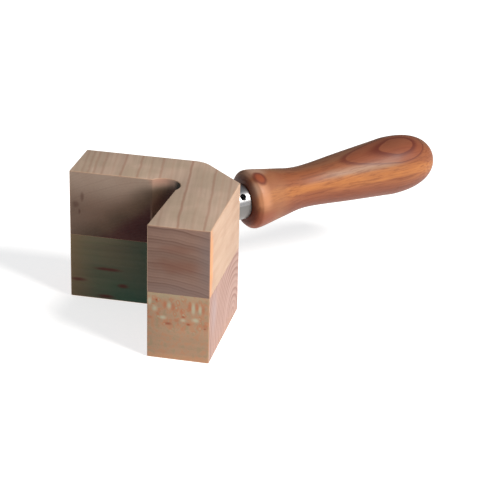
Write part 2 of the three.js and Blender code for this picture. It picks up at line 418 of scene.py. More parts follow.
def handle_outline():
    """The outside of the handle as (radius, station) points read from its node, front to butt."""
    found = []
    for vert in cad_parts["handle"].data.vertices:
        away = vert.co / MM - AXIS_START
        station = away.dot(ALONG)
        found.append((station, (away - ALONG * station).length))
    rings = []
    for station, radius in sorted(found):
        if rings and station - rings[-1][1] < 0.2:
            rings[-1] = (max(radius, rings[-1][0]), rings[-1][1])
        else:
            rings.append((radius, station))
    return rings


def rounded_out(points, steps):
    """More points along a smooth curve through these."""
    curve = []
    for i in range(len(points) - 1):
        before, start = points[max(i - 1, 0)], points[i]
        end, after = points[i + 1], points[min(i + 2, len(points) - 1)]
        for step in range(steps):
            t = step / steps
            curve.append(tuple(
                0.5 * (2 * b + (c - a) * t
                       + (2 * a - 5 * b + 4 * c - d) * t**2
                       + (3 * b - a - 3 * c + d) * t**3)
                for a, b, c, d in zip(before, start, end, after)
            ))
    return [*curve, points[-1]]


def make_handle():
    """The turned handle, its outside smoothed through the rings of its node, with the stud's bore."""
    bore_end = HANDLE_START + HANDLE_BORE_DEPTH
    clear_of_bore = BORE_RADIUS + 1
    near_butt = bore_end + 20
    outside = [
        (radius, station) for radius, station in handle_outline()
        if radius > clear_of_bore or station > near_butt
    ]
    outline = [(0, bore_end), (BORE_RADIUS, bore_end), (BORE_RADIUS, HANDLE_START + 0.01)]
    outline += rounded_out(outside, 3)
    outline[-1] = (0, outline[-1][1])
    bm = turned(outline, 96)
    for face in bm.faces:
        face.smooth = True
    set_on_axis(bm)
    finished(bm, "handle_piece", "grip", "handle")


make_boards()
make_stud()
make_insert()
make_washer()
make_collar()
make_grub_screw()
make_handle()


# ---------------------------------------------------------------- camera and floor


def add_camera():
    azimuth, elevation, roll = math.radians(11.74), math.radians(24.04), math.radians(1.56)
    target = Vector((0.01995, -0.00975, 0.032))
    distance = 0.8432
    ahead = Vector((-math.sin(azimuth), math.cos(azimuth), 0.0))
    forward = (ahead * math.cos(elevation) - Vector((0, 0, math.sin(elevation)))).normalized()
    data = bpy.data.cameras.new("camera")
    data.sensor_width = 36.0
    data.lens = 130.9
    camera = bpy.data.objects.new("camera", data)
    turn = forward.to_track_quat("-Z", "Y").to_matrix().to_4x4() @ Matrix.Rotation(roll, 4, "Z")
    camera.matrix_world = Matrix.Translation(target - forward * distance) @ turn
    bpy.context.scene.collection.objects.link(camera)
    bpy.context.scene.camera = camera


def add_floor():
    bm = bmesh.new()
    bmesh.ops.create_grid(bm, x_segments=1, y_segments=1, size=4)
    bmesh.ops.translate(bm, vec=(0, 0, -FLOOR_DROP * MM), verts=bm.verts)
    mesh = bpy.data.meshes.new("floor")
    bm.to_mesh(mesh)
    bm.free()
    floor = bpy.data.objects.new("floor", mesh)
    bpy.context.scene.collection.objects.link(floor)


add_camera()
add_floor()


# ---------------------------------------------------------------- node helpers


def feed(tree, sockets, values):
    """Sets each value on its socket, or links the socket given to it."""
    for name, value in values.items():
        if isinstance(value, bpy.types.NodeSocket):
            tree.links.new(value, sockets[name])
        else:
            sockets[name].default_value = value


def add(tree, kind, inputs=None, **settings):
    """A node with its settings made and its inputs fed."""
    made = tree.nodes.new(kind)
    for name, value in settings.items():
        setattr(made, name, value)
    feed(tree, made.inputs, inputs or {})
    return made


def maths(tree, operation, first, second=0.0):
    """The result of this operation on one or two numbers."""
    return add(tree, "ShaderNodeMath", {0: first, 1: second}, operation=operation).outputs[0]


def product(tree, *factors):
    """These factors multiplied together."""
    total = factors[0]
    for factor in factors[1:]:
        total = maths(tree, "MULTIPLY", total, factor)
    return total


def vector_maths(tree, operation, *vectors):
    """The outputs of this operation on vectors: [0] is a vector, ["Value"] a number."""
    return add(tree, "ShaderNodeVectorMath", dict(enumerate(vectors)), operation=operation).outputs


def parts_of(tree, vector):
    """The X, Y and Z of a vector."""
    return add(tree, "ShaderNodeSeparateXYZ", {0: vector}).outputs


def noise(tree, place, scale, detail, **inputs):
    """Soft noise at this place, around 0.5."""
    given = {"Vector": place, "Scale": scale, "Detail": detail, **inputs}
    return add(tree, "ShaderNodeTexNoise", given).outputs[0]


def step_up(tree, value, low, high):
    """0 below low, 1 above high, and a smooth rise between."""
    inputs = {"Value": value, "From Min": low, "From Max": high}
    return add(tree, "ShaderNodeMapRange", inputs, interpolation_type="SMOOTHSTEP").outputs["Result"]


def step_down(tree, value, low, high):
    """1 below low, 0 above high, and a smooth fall between."""
    return maths(tree, "SUBTRACT", 1.0, step_up(tree, value, low, high))


def beyond(tree, place, low, high):
    """0 short of low and 1 beyond high, both in millimetres along this coordinate."""
    return step_up(tree, place, low * MM, high * MM)


def short_of(tree, place, low, high):
    """1 short of low and 0 beyond high, both in millimetres along this coordinate."""
    return step_down(tree, place, low * MM, high * MM)


def shade(colour):
    """An sRGB colour written 0 to 255 as the linear colour a node takes; a socket stays as it is."""
    if isinstance(colour, bpy.types.NodeSocket):
        return colour
    linear = [(c / 255 / 12.92 if c <= 10 else ((c / 255 + 0.055) / 1.055) ** 2.4) for c in colour]
    return (*linear, 1.0)


def lay(tree, base, colour, *factors):
    """The base colour with another laid over it, as strongly as these factors multiplied together."""
    made = add(tree, "ShaderNodeMix", data_type="RGBA")
    feed(tree, made.inputs, {0: product(tree, *factors), 6: shade(base), 7: shade(colour)})
    return made.outputs[2]


def new_group(name, inputs, outputs):
    """A node group with these sockets, its tree, and its input and output sockets by name."""
    tree = bpy.data.node_groups.new(name, "ShaderNodeTree")
    for label, kind in inputs:
        tree.interface.new_socket(label, in_out="INPUT", socket_type=kind)
    for label, kind in outputs:
        tree.interface.new_socket(label, in_out="OUTPUT", socket_type=kind)
    return tree, tree.nodes.new("NodeGroupInput").outputs, tree.nodes.new("NodeGroupOutput").inputs


def use_group(tree, group, inputs):
    """The outputs of this node group, placed in a material with its own inputs."""
    made = tree.nodes.new("ShaderNodeGroup")
    made.node_tree = group
    feed(tree, made.inputs, inputs)
    return made.outputs


# ---------------------------------------------------------------- shared effects

FLOAT, VECTOR = "NodeSocketFloat", "NodeSocketVector"


def growth_rings_group():
    """Annual rings around Z: how dark the late wood is, a tone for each ring, and the radius."""
    tree, given, out = new_group(
        "growth_rings",
        [("Place", VECTOR), ("Ring Width", FLOAT), ("Wander", FLOAT)],
        [("Latewood", FLOAT), ("Tone", FLOAT), ("Radius", FLOAT)],
    )
    drift = noise(tree, vector_maths(tree, "MULTIPLY", given["Place"], (1, 1, 0.22))[0], 55.0, 2.0)
    flat = vector_maths(tree, "MULTIPLY", given["Place"], (1, 1, 0))[0]
    length = vector_maths(tree, "LENGTH", flat)["Value"]
    centred = maths(tree, "SUBTRACT", drift, 0.5)
    radius = maths(tree, "ADD", length, maths(tree, "MULTIPLY", centred, given["Wander"]))
    count = maths(tree, "DIVIDE", radius, given["Ring Width"])
    through = maths(tree, "FRACT", count)
    dark = product(tree, step_up(tree, through, 0.25, 0.9), step_down(tree, through, 0.93, 1.0))
    tone = add(tree, "ShaderNodeTexWhiteNoise", {"W": maths(tree, "FLOOR", count)}, noise_dimensions="1D")
    feed(tree, out, {"Latewood": dark, "Tone": tone.outputs["Value"], "Radius": radius})
    return tree


def wood_fibres_group():
    """Fine fibres and broader streaks drawn out along Z, and soft clouds."""
    tree, given, out = new_group(
        "wood_fibres",
        [("Place", VECTOR), ("Fineness", FLOAT)],
        [("Fibre", FLOAT), ("Streak", FLOAT), ("Cloud", FLOAT)],
    )
    drawn_out = vector_maths(tree, "MULTIPLY", given["Place"], (1, 1, 0.035))[0]
    fine = noise(tree, drawn_out, given["Fineness"], 4.0, Roughness=0.6)
    broad = noise(tree, drawn_out, product(tree, given["Fineness"], 0.28), 2.0)
    cloud = noise(tree, given["Place"], 60.0, 3.0)
    feed(tree, out, {
        "Fibre": step_up(tree, fine, 0.3, 0.7),
        "Streak": step_up(tree, broad, 0.35, 0.68),
        "Cloud": step_up(tree, cloud, 0.35, 0.68),
    })
    return tree


def ray_flecks_group():
    """Rounded flecks, scattered, each a core in a halo; Stretch is their spacing along each axis."""
    tree, given, out = new_group(
        "ray_flecks",
        [("Place", VECTOR), ("Stretch", VECTOR), ("Share", FLOAT)],
        [("Core", FLOAT), ("Halo", FLOAT)],
    )
    scaled = vector_maths(tree, "DIVIDE", given["Place"], given["Stretch"])[0]
    bend = add(tree, "ShaderNodeTexNoise", {"Vector": scaled, "Scale": 1.3, "Detail": 1.0}).outputs["Color"]
    moved = vector_maths(tree, "ADD", bend, scaled)[0]
    cells = add(tree, "ShaderNodeTexVoronoi", {"Vector": moved, "Scale": 1.0, "Randomness": 0.75}).outputs
    lot = add(tree, "ShaderNodeSeparateColor", {0: cells["Color"]}).outputs[0]
    chosen = maths(tree, "LESS_THAN", lot, given["Share"])
    core = step_down(tree, cells["Distance"], 0.12, 0.28)
    halo = step_down(tree, cells["Distance"], 0.38, 0.52)
    around = maths(tree, "SUBTRACT", halo, core)
    feed(tree, out, {"Core": product(tree, core, chosen), "Halo": product(tree, around, chosen)})
    return tree


def patch_group():
    """A soft-edged patch around a centre, with its reach along each axis and an uneven outline."""
    tree, given, out = new_group(
        "patch",
        [("Place", VECTOR), ("Centre", VECTOR), ("Reach", VECTOR), ("Edge", FLOAT), ("Unevenness", FLOAT)],
        [("Mask", FLOAT)],
    )
    away = vector_maths(tree, "SUBTRACT", given["Place"], given["Centre"])[0]
    share = vector_maths(tree, "DIVIDE", away, given["Reach"])[0]
    length = vector_maths(tree, "LENGTH", share)["Value"]
    ragged = noise(tree, given["Place"], 160.0, 2.0)
    push = product(tree, maths(tree, "SUBTRACT", ragged, 0.5), given["Unevenness"])
    edge = add(tree, "ShaderNodeMapRange", {
        "Value": maths(tree, "ADD", length, push),
        "From Min": maths(tree, "SUBTRACT", 1.0, given["Edge"]),
        "From Max": 1.0,
        "To Min": 1.0,
        "To Max": 0.0,
    }, interpolation_type="SMOOTHSTEP")
    feed(tree, out, {"Mask": edge.outputs["Result"]})
    return tree


def metal_wear_group():
    """Fine turning lines around Z and soft smudges, for steel and brass."""
    tree, given, out = new_group(
        "metal_wear",
        [("Place", VECTOR), ("Line Width", FLOAT)],
        [("Lines", FLOAT), ("Smudge", FLOAT)],
    )
    across_lines = maths(tree, "DIVIDE", parts_of(tree, given["Place"])["Z"], given["Line Width"])
    lines = add(tree, "ShaderNodeTexNoise", {
        "W": across_lines, "Scale": 1.0, "Detail": 3.0,
    }, noise_dimensions="1D").outputs[0]
    smudge = noise(tree, given["Place"], 260.0, 3.0)
    feed(tree, out, {"Lines": lines, "Smudge": step_up(tree, smudge, 0.4, 0.7)})
    return tree


growth_rings = growth_rings_group()
wood_fibres = wood_fibres_group()
ray_flecks = ray_flecks_group()
patch = patch_group()
metal_wear = metal_wear_group()


# ---------------------------------------------------------------- where a finish lies


def new_material(name, **values):
    """A material, its tree and its shader, with values such as roughness set on the shader itself."""
    material = bpy.data.materials.new(name)
    material.use_nodes = True
    tree = material.node_tree
    shader = tree.nodes["Principled BSDF"]
    for label, value in values.items():
        shader.inputs[label.replace("_", " ").title().replace("Ior", "IOR")].default_value = value
    return material, tree, shader


def place_on(tree):
    """Object coordinates, in metres."""
    return add(tree, "ShaderNodeTexCoord").outputs["Object"]


def place_along(tree, start, across, along):
    """Object coordinates turned so that Z runs along the grain from this start."""
    up = along.cross(across)
    turn = Matrix((across, up, along)).transposed().to_euler()
    given = {"Vector": place_on(tree), "Location": start * MM, "Rotation": turn}
    return add(tree, "ShaderNodeMapping", given, vector_type="TEXTURE").outputs[0]


def facing_of(tree, direction):
    """How squarely the surface faces this way, from -1 to 1."""
    normal = add(tree, "ShaderNodeTexCoord").outputs["Normal"]
    return vector_maths(tree, "DOT_PRODUCT", normal, direction)["Value"]


def surface_facing(tree, direction):
    """How squarely the surface faces this way, and 0 where it faces away."""
    return maths(tree, "MAXIMUM", facing_of(tree, direction), 0.0)


def end_grain_share(tree, grain):
    """1 where the surface is cut across the grain, 0 where it runs with it."""
    return step_up(tree, maths(tree, "ABSOLUTE", facing_of(tree, grain)), 0.6, 0.9)


def spot_on(tree, where, centre, reach, edge, unevenness):
    """A soft patch around this centre, its place and reach in millimetres."""
    return use_group(tree, patch, {
        "Place": where, "Centre": [c * MM for c in centre], "Reach": [r * MM for r in reach],
        "Edge": edge, "Unevenness": unevenness,
    })["Mask"]


def marked(tree, where, colour, marks):
    """The colour with a soft patch laid over it for each row of marks, in their order."""
    for centre, reach, edge, unevenness, amount, paint in marks:
        colour = lay(tree, colour, paint, spot_on(tree, where, centre, reach, edge, unevenness), amount)
    return colour


def ring_lines(tree, rings, least):
    """The late wood's lines, each ring with its own strength from this least one up to 1."""
    strength = maths(tree, "ADD", least, product(tree, rings["Tone"], 1 - least))
    return product(tree, rings["Latewood"], strength)


def rough_wood(tree, shader, rings, fibres, low, high, raised):
    """Roughness and a slight bump from the late wood and the fibres."""
    grain = maths(tree, "ADD", product(tree, fibres["Fibre"], 0.6), product(tree, rings["Latewood"], 0.4))
    roughness = add(tree, "ShaderNodeMapRange", {"Value": grain, "To Min": high, "To Max": low})
    bump = add(tree, "ShaderNodeBump", {"Height": grain, "Strength": 0.6, "Distance": raised * MM})
    feed(tree, shader.inputs, {"Roughness": roughness.outputs["Result"], "Normal": bump.outputs[0]})


# ---------------------------------------------------------------- the boards' wood

# Each board's grain runs along GRAIN, with its rings around a line through PITH.
UPPER_GRAIN = Vector((-0.156, 0.988, 0)).normalized()
UPPER_PITH = Vector((-20, 0, -22))
LOWER_GRAIN = Vector((1, 0, 0))
LOWER_PITH = Vector((0, -19, 3))

# Dark lines along the upper board's face: how far across the grain, and how strong.
FACE_LINES = (
    (-61.0, 0.35), (-58.2, 0.5), (-55.7, 0.6), (-52.1, 0.5), (-47.5, 0.3), (-42.8, 0.8), (-34.9, 0.75),
    (-29.8, 0.35), (-24.7, 0.7), (-19.8, 0.3), (-11.2, 1.0), (-4.6, 0.25), (0.8, 0.8), (4.9, 0.3),
    (8.4, 0.45), (10.6, 0.35), (12.7, 0.5), (14.6, 0.35),
)

# Flecks on the end of the right arm, in the lower board: place across and up, then half sizes.
FLECKS_AT = -65.8
FLECK_SPREAD = 1.15
ORANGE_FLECKS = (
    (-9.8, 28.4, 1.0, 1.3), (-6.0, 26.6, 1.0, 2.7), (-2.3, 26.0, 1.1, 2.7), (5.2, 27.0, 1.0, 2.8),
    (8.5, 27.3, 0.9, 2.6), (11.5, 26.0, 1.0, 2.8), (-12.8, 19.9, 1.7, 1.2), (-9.3, 22.1, 1.4, 1.3),
    (-0.6, 19.6, 1.6, 1.2), (4.6, 18.5, 1.9, 1.1), (12.3, 18.3, 1.5, 1.4), (1.6, 24.0, 1.0, 1.6),
)
PALE_FLECKS = (
    (-4.1, 26.4, 1.3, 2.6), (6.9, 26.2, 1.0, 3.2), (10.0, 26.0, 0.9, 2.8), (-10.6, 24.4, 1.8, 2.2),
    (-7.0, 20.4, 2.4, 1.3), (2.4, 20.0, 1.6, 1.2), (8.0, 20.6, 2.2, 1.3), (-12.9, 27.6, 1.2, 2.4),
)
DARK_FLECKS = (
    (-4.5, 17.6, 2.1, 0.9), (4.7, 18.2, 1.0, 0.6), (2.4, 21.7, 1.1, 0.7),
    (-9.8, 28.6, 0.6, 0.6), (12.2, 16.9, 0.9, 0.5),
)

# Marks in rows: centre and reach in millimetres, edge, unevenness, amount, colour.
# A painted highlight down the right arm's upright front edge.
RIGHT_ARM_PAINTED_EDGE_HIGHLIGHT = (
    ((14.4, -65.9, 47), (3, 7.5, 30), 0.8, 0.5, 0.8, (222, 152, 102)),
)
UPPER_ARM_END_MARKS = (
    ((0, -65, 46), (17, 30, 5), 0.9, 0.8, 0.5, (126, 70, 52)),
    ((-1, -65, 53.5), (12, 30, 3), 0.9, 0.8, 0.35, (122, 72, 56)),
    ((0, -65, 48), (24, 30, 11), 0.9, 0.4, 0.4, (100, 76, 64)),
    ((16, -65, 50), (11, 30, 30), 0.9, 0.3, 0.45, (110, 102, 102)),
    ((0, -65, 32), (30, 30, 9), 0.9, 0.3, 0.35, (118, 102, 98)),
)
UPPER_NOTCH_PAINTED_LIGHT_AND_DENTS = (
    # A painted pool of light at the top of the relief bore's wall.
    ((-21.5, -14.3, 64), (8, 7, 6), 0.85, 0.3, 0.8, (186, 138, 118)),
    # Painted shade in the tip of the inner corner.
    ((-12.5, -15.5, 58), (4.5, 7, 14), 0.6, 0.1, 0.95, (16, 28, 27)),
    # Three dents.
    ((-59.6, -14, 51.5), (1.3, 4, 3.4), 0.7, 0.6, 0.55, (72, 44, 36)),
    ((-62.8, -14, 47.5), (2.2, 4, 2.4), 0.7, 0.6, 0.55, (72, 44, 36)),
    ((-61, -14, 44), (0.9, 4, 2), 0.7, 0.6, 0.55, (72, 44, 36)),
)
LOWER_SEAM_STRIP = (
    ((-3, -66, 33), (26, 12, 6), 0.8, 0.5, 0.6, (166, 154, 126)),
)
LOWER_FOOT_STRIP = (
    ((0, -66, 0.5), (40, 12, 3), 0.7, 0.4, 0.5, (190, 138, 102)),
)
LOWER_NOTCH_MARKS = (
    ((-47.4, -14, 15.8), (9.5, 4, 1.3), 0.8, 0.5, 0.9, (72, 26, 20)),
    ((-62, -14, 9.1), (5.5, 4, 1.4), 0.8, 0.5, 0.9, (72, 26, 20)),
    ((-40, -14, 8), (3.8, 4, 1.7), 0.8, 0.5, 0.9, (72, 26, 20)),
    ((-48.5, -14, 1.6), (6, 4, 1.6), 0.8, 0.5, 0.9, (72, 26, 20)),
)
LOWER_SIDE_MARKS = (
    ((14, -57, 22), (20, 8, 16), 0.9, 0.3, 0.5, (166, 150, 152)),
    ((14, -30, -2), (20, 40, 10), 0.9, 0.3, 0.5, (182, 140, 116)),
)


class BoardWood:
    """One board's material with the places, rings and fibres that all of its faces share."""

    def __init__(self, name, grain, pith, ring_width, wander, fineness, least_line):
        self.material, self.tree, self.shader = new_material(name, specular_ior_level=0.2)
        self.grain = grain
        self.across = Vector((0, 0, 1)).cross(grain)
        self.here = place_on(self.tree)
        self.parts = parts_of(self.tree, self.here)
        place = place_along(self.tree, pith, self.across, grain)
        self.rings = use_group(self.tree, growth_rings, {
            "Place": place, "Ring Width": ring_width * MM, "Wander": wander * MM,
        })
        self.fibres = use_group(self.tree, wood_fibres, {"Place": place, "Fineness": fineness})
        self.line = ring_lines(self.tree, self.rings, least_line)

    def lay(self, base, colour, *factors):
        return lay(self.tree, base, colour, *factors)

    def marked(self, colour, marks):
        return marked(self.tree, self.here, colour, marks)

    def finish(self, colour):
        """The colour with clouds and a painted highlight on the eased edges, linked to the shader with its
        roughness.
        """
        colour = self.lay(colour, (120, 84, 66), self.fibres["Cloud"], 0.12)
        # A painted highlight, paler, on the eased edges marked in the arris layer.
        arris = add(self.tree, "ShaderNodeAttribute", attribute_name="arris").outputs["Fac"]
        colour = self.lay(colour, (206, 160, 124), arris, 0.15)
        feed(self.tree, self.shader.inputs, {"Base Color": colour})
        rough_wood(self.tree, self.shader, self.rings, self.fibres, 0.55, 0.76, 0.05)
        return self.material


def inside_of_notch(wood):
    """1 on the left arm's face inside the notch."""
    towards_front = step_up(wood.tree, surface_facing(wood.tree, (0, -1, 0)), 0.6, 0.9)
    return product(wood.tree, towards_front, beyond(wood.tree, wood.parts["Y"], -45, -30))


def inside_of_relief(wood):
    """1 on the wall of the relief bore in the inner corner."""
    middle = -ARM_WIDTH / 2 - RELIEF_INSET
    reach = RELIEF_RADIUS + 1
    full_height = 400
    near = spot_on(
        wood.tree, wood.here, (middle, middle, BOARD_THICKNESS), (reach, reach, full_height), 0.08, 0.0,
    )
    return product(wood.tree, near, step_down(wood.tree, surface_facing(wood.tree, (0, 0, 1)), 0.3, 0.7))


def face_lines(wood):
    """The dark lines of the upper board's face, which drift a little as they run along the grain."""
    tree = wood.tree
    drift = product(tree, maths(tree, "SUBTRACT", wood.fibres["Cloud"], 0.5), 0.55 * MM)
    across = parts_of(tree, place_along(tree, Vector((0, 0, 0)), wood.across, wood.grain))["X"]
    across_grain = maths(tree, "SUBTRACT", drift, across)
    total = 0.0
    for offset, strength in FACE_LINES:
        away = maths(tree, "ABSOLUTE", maths(tree, "SUBTRACT", across_grain, offset * MM))
        total = maths(tree, "MAXIMUM", product(tree, short_of(tree, away, 0.1, 1.0), strength), total)
    return total


def upper_face(wood):
    colour = wood.lay((192, 167, 148), (174, 149, 131), wood.fibres["Streak"], 0.5)
    colour = wood.lay(colour, (168, 158, 134), wood.fibres["Cloud"], 0.35)
    colour = wood.lay(colour, (152, 108, 90), face_lines(wood), 0.62)
    return wood.lay(colour, (128, 104, 90), wood.fibres["Fibre"], 0.16)


def upper_side(wood):
    colour = wood.lay((194, 166, 144), (182, 150, 128), wood.fibres["Streak"], 0.6)
    colour = wood.lay(colour, (164, 124, 102), wood.line, 0.25)
    return wood.marked(colour, RIGHT_ARM_PAINTED_EDGE_HIGHLIGHT)


def upper_arm_end(wood):
    colour = wood.lay((136, 108, 95), (114, 88, 77), wood.rings["Tone"], 0.6)
    colour = wood.lay(colour, (122, 94, 84), wood.fibres["Fibre"], 0.3)
    colour = wood.lay(colour, (90, 62, 55), wood.line, 0.65)
    return wood.marked(colour, UPPER_ARM_END_MARKS)


def upper_notch(wood):
    """The notch's face of the upper board, with painted shade: darker lower down, and a painted shadow of the
    right arm that deepens to dark red towards the inner corner.
    """
    tree, height = wood.tree, wood.parts["Z"]
    colour = wood.lay((154, 134, 119), (144, 122, 107), wood.fibres["Fibre"], 0.35)
    # Painted shade, darker lower down in the notch.
    colour = wood.lay(colour, (104, 83, 70), short_of(tree, height, 44, 63))
    colour = wood.lay(colour, (88, 58, 50), wood.line, 0.15)
    # Painted shadow of the right arm: a line sloping down to the left, dark below it and dark red nearest the
    # inner corner.
    slope = 0.77
    towards_corner = maths(tree, "SUBTRACT", height, product(tree, wood.parts["X"], slope))
    towards_corner = maths(tree, "ADD", towards_corner, product(tree, wood.fibres["Cloud"], 2 * MM))
    under_top = short_of(tree, height, 57, 64)
    colour = wood.lay(colour, (70, 53, 40), short_of(tree, towards_corner, 74, 90), under_top)
    colour = wood.lay(colour, (52, 12, 13), short_of(tree, towards_corner, 67, 76))
    return wood.marked(colour, UPPER_NOTCH_PAINTED_LIGHT_AND_DENTS)


def upper_board_wood():
    wood = BoardWood("upper_board_wood", UPPER_GRAIN, UPPER_PITH, 1.35, 3.4, 900.0, 0.2)
    tree = wood.tree
    top = step_up(tree, surface_facing(tree, (0, 0, 1)), 0.5, 0.95)
    notch = upper_notch(wood)
    ends = wood.lay(upper_arm_end(wood), notch, inside_of_notch(wood))
    # The relief bore's wall takes the notch's colours, with painted shade in dark brown lower down.
    relief = wood.lay(notch, (104, 80, 64), short_of(tree, wood.parts["Z"], 42, 56))
    colour = wood.lay(upper_side(wood), upper_face(wood), top)
    colour = wood.lay(colour, ends, end_grain_share(tree, wood.grain))
    colour = wood.lay(colour, relief, inside_of_relief(wood))
    return wood.finish(colour)


def fleck_mask(wood, flecks):
    """One mask for a table of flecks on the end of the right arm."""
    total = 0.0
    for x, z, half_width, half_height in flecks:
        reach = (FLECK_SPREAD * half_width, 5, FLECK_SPREAD * half_height)
        spot = spot_on(wood.tree, wood.here, (x, FLECKS_AT, z), reach, 0.9, 0.7)
        total = maths(wood.tree, "MAXIMUM", spot, total)
    return total


def lower_arm_end(wood):
    """Tangential wood on the arm's end: a mottled ground with a band of flecks under the seam."""
    tree = wood.tree
    colour = wood.lay((164, 133, 107), (152, 122, 97), wood.fibres["Streak"], 0.4)
    mottle = noise(tree, wood.here, 380.0, 3.0, Roughness=0.6)
    arm_end = short_of(tree, wood.parts["Y"], -62, -54)
    colour = wood.lay(colour, (174, 122, 90), arm_end, step_up(tree, mottle, 0.5, 0.6), 0.5)
    colour = wood.lay(colour, (140, 128, 100), arm_end, step_down(tree, mottle, 0.38, 0.48), 0.55)
    colour = wood.marked(colour, LOWER_SEAM_STRIP)
    spacing = (2.7 * MM, 9 * MM, 3.3 * MM)
    scattered = use_group(tree, ray_flecks, {"Place": wood.here, "Stretch": spacing, "Share": 0.8})
    fleck_band = spot_on(tree, wood.here, (0, -66, 23.5), (40, 12, 11), 0.5, 0.5)
    colour = wood.lay(colour, (172, 112, 82), scattered["Halo"], fleck_band, 0.55)
    colour = wood.lay(colour, (160, 152, 124), scattered["Core"], fleck_band, 0.6)
    colour = wood.lay(colour, (174, 172, 148), fleck_mask(wood, PALE_FLECKS), 0.75)
    colour = wood.lay(colour, (170, 100, 70), fleck_mask(wood, ORANGE_FLECKS), 0.65)
    colour = wood.lay(colour, (138, 66, 46), fleck_mask(wood, DARK_FLECKS), 0.75)
    return wood.marked(colour, LOWER_FOOT_STRIP)


def lower_notch(wood):
    """The notch's face of the lower board in painted shade: dark green-brown, browner at the left end and
    darker and greener towards the inner corner and the floor.
    """
    tree, left_to_right = wood.tree, wood.parts["X"]
    colour = wood.lay((84, 84, 64), (70, 73, 55), wood.fibres["Streak"], 0.6)
    colour = wood.lay(colour, (84, 70, 54), wood.fibres["Fibre"], 0.25)
    colour = wood.lay(colour, (104, 84, 60), short_of(tree, left_to_right, -68, -52), 0.8)
    near_floor = short_of(tree, wood.parts["Z"], 0, 24)
    colour = wood.lay(colour, (40, 72, 54), near_floor, beyond(tree, left_to_right, -62, -36), 0.9)
    colour = wood.lay(colour, (34, 66, 54), beyond(tree, left_to_right, -48, -28), 0.6)
    return wood.marked(colour, LOWER_NOTCH_MARKS)


def lower_side(wood):
    """End grain, with its rings in arches."""
    colour = wood.lay((182, 152, 141), (168, 138, 127), wood.fibres["Fibre"], 0.35)
    colour = wood.lay(colour, (126, 84, 76), wood.line, 0.75)
    return wood.marked(colour, LOWER_SIDE_MARKS)


def lower_board_wood():
    wood = BoardWood("lower_board_wood", LOWER_GRAIN, LOWER_PITH, 3.2, 2.2, 800.0, 0.4)
    colour = wood.lay(lower_arm_end(wood), lower_notch(wood), inside_of_notch(wood))
    colour = wood.lay(colour, lower_side(wood), end_grain_share(wood.tree, wood.grain))
    # Painted shade on the wall of the relief bore.
    colour = wood.lay(colour, (96, 80, 62), inside_of_relief(wood))
    return wood.finish(colour)


# ---------------------------------------------------------------- the handle's wood

# The handle's growth rings lie square to this direction about its axis, around a far-off centre.
RING_DIRECTION = math.radians(116)
RING_CENTRE = 60
RING_WIDTH = 1.6

# The middle of its orange band about the axis at this station. The band turns as it runs along.
BAND_DIRECTION = math.radians(160)
BAND_STATION = 30
BAND_DEGREES_PER_METRE = 210
BAND_WAVER_DEGREES = 7

KNOT_AT = (-6.2, 12.6, 17.1)
# Painted sheen on the neck's shoulder, in the same rows as the marks: centre, reach, edge, unevenness,
# amount, colour.
NECK_PAINTED_SHEEN = (
    ((-8.5, 8.3, 12.8), (5.5, 6, 3.6), 0.9, 0.2, 0.75, (178, 148, 128)),
    ((0.5, 13.4, 17), (7, 5, 9), 0.9, 0.2, 0.75, (178, 148, 128)),
)
KNOT = (
    (KNOT_AT, (5.6, 4.7, 4.0), 0.4, 0.4, 0.9, (100, 42, 28)),
    (KNOT_AT, (4.0, 3.3, 2.9), 0.6, 0.4, 0.8, (150, 74, 42)),
)


def around_axis(direction):
    """The way out from the handle's axis at this angle about it."""
    return ACROSS * math.cos(direction) + UPWARDS * math.sin(direction)


def turn_from_band(tree, station, streak):
    """Degrees about the axis from the middle of the orange band, at any station."""
    spread = parts_of(tree, place_along(tree, AXIS_START, around_axis(BAND_DIRECTION), ALONG))
    turn = product(tree, maths(tree, "ARCTAN2", spread["Y"], spread["X"]), 180 / math.pi)
    further_along = maths(tree, "SUBTRACT", station, BAND_STATION * MM)
    turn = maths(tree, "SUBTRACT", turn, product(tree, further_along, BAND_DEGREES_PER_METRE))
    waver = product(tree, maths(tree, "SUBTRACT", streak, 0.5), BAND_WAVER_DEGREES)
    return maths(tree, "ADD", turn, waver)


def grip_zones(tree, turn, station, fibres):
    """The colours around the handle: painted shade in brown above and red below, a painted sheen, and the
    orange band between.
    """
    colour = lay(tree, (146, 84, 50), (128, 68, 38), fibres["Streak"], 0.6)
    colour = lay(tree, colour, (126, 86, 62), step_down(tree, turn, -75, -38))
    colour = lay(tree, colour, (124, 62, 34), step_up(tree, turn, 18, 42))
    # A painted sheen beside the band along the grip.
    beside_band = product(tree, step_up(tree, turn, -42, -24), step_down(tree, turn, -12, -2))
    on_grip = product(tree, beyond(tree, station, 46, 62), short_of(tree, station, 86, 102))
    colour = lay(tree, colour, (152, 112, 84), beside_band, on_grip, 0.9)
    band = product(tree, step_up(tree, turn, -20, -4), step_down(tree, turn, 4, 20))
    colour = lay(tree, colour, (170, 105, 56), band, 0.95)
    colour = lay(tree, colour, (188, 121, 62), band, step_up(tree, fibres["Fibre"], 0.55, 0.9), 0.4)
    return lay(tree, colour, (100, 48, 30), step_down(tree, fibres["Fibre"], 0.1, 0.45), 0.4)


def grip_rings(tree, colour, rings, station):
    """The oval figure on the grip's upper side, where it bulges out through the outer growth rings."""
    depth = maths(tree, "SUBTRACT", rings["Radius"], RING_CENTRE * MM)
    colour = lay(tree, colour, (128, 62, 38), beyond(tree, depth, 11.7, 12.2), 0.6)
    lines = product(tree, ring_lines(tree, rings, 0.65), rings["Latewood"], beyond(tree, depth, 11.2, 11.8))
    return lay(tree, colour, (94, 36, 24), lines, beyond(tree, station, 45, 60))


